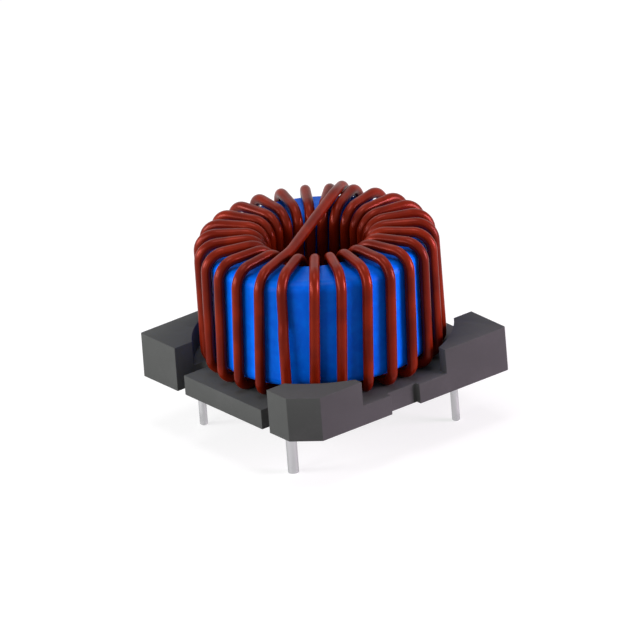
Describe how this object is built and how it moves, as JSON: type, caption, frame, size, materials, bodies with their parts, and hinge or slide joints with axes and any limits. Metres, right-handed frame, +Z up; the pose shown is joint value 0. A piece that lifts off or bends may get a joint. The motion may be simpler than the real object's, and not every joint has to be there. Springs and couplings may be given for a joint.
{
  "type": "toroidal power choke",
  "caption": "Power choke: a coated ring core wound with one layer of thick enamelled wire, on a square moulded base with wire leads and mounting pins for a circuit board.",
  "frame": {"origin": "centre of the base's underside, which seats on a circuit board, midway between the two mounting pins", "axes": "+Z up along the coil's axis, away from the board; the pins point to -Z; the start lead is on the -X side and the bevelled corner at -X -Y"},
  "size_m": [0.0322, 0.0322, 0.0274],
  "materials": {
    "moulded_base": "dark grey moulded plastic, fine matt texture",
    "coated_core": "bright blue epoxy powder coat, satin",
    "enamelled_wire": "red-brown enamel on copper, glossy, with tinned ends",
    "tinned_pin": "tin plate, bright",
    "adhesive": "cured adhesive, pale"
  },
  "bodies": {
    "root": {"base": "moulded_base", "core": "coated_core", "winding_start": "enamelled_wire", "winding_middle": "enamelled_wire", "winding_finish": "enamelled_wire", "mounting_pin_back_left": "tinned_pin", "mounting_pin_front_right": "tinned_pin", "adhesive_dab_1": "adhesive", "adhesive_dab_2": "adhesive", "adhesive_dab_3": "adhesive", "adhesive_dab_4": "adhesive"}
  },
  "joints": []
}
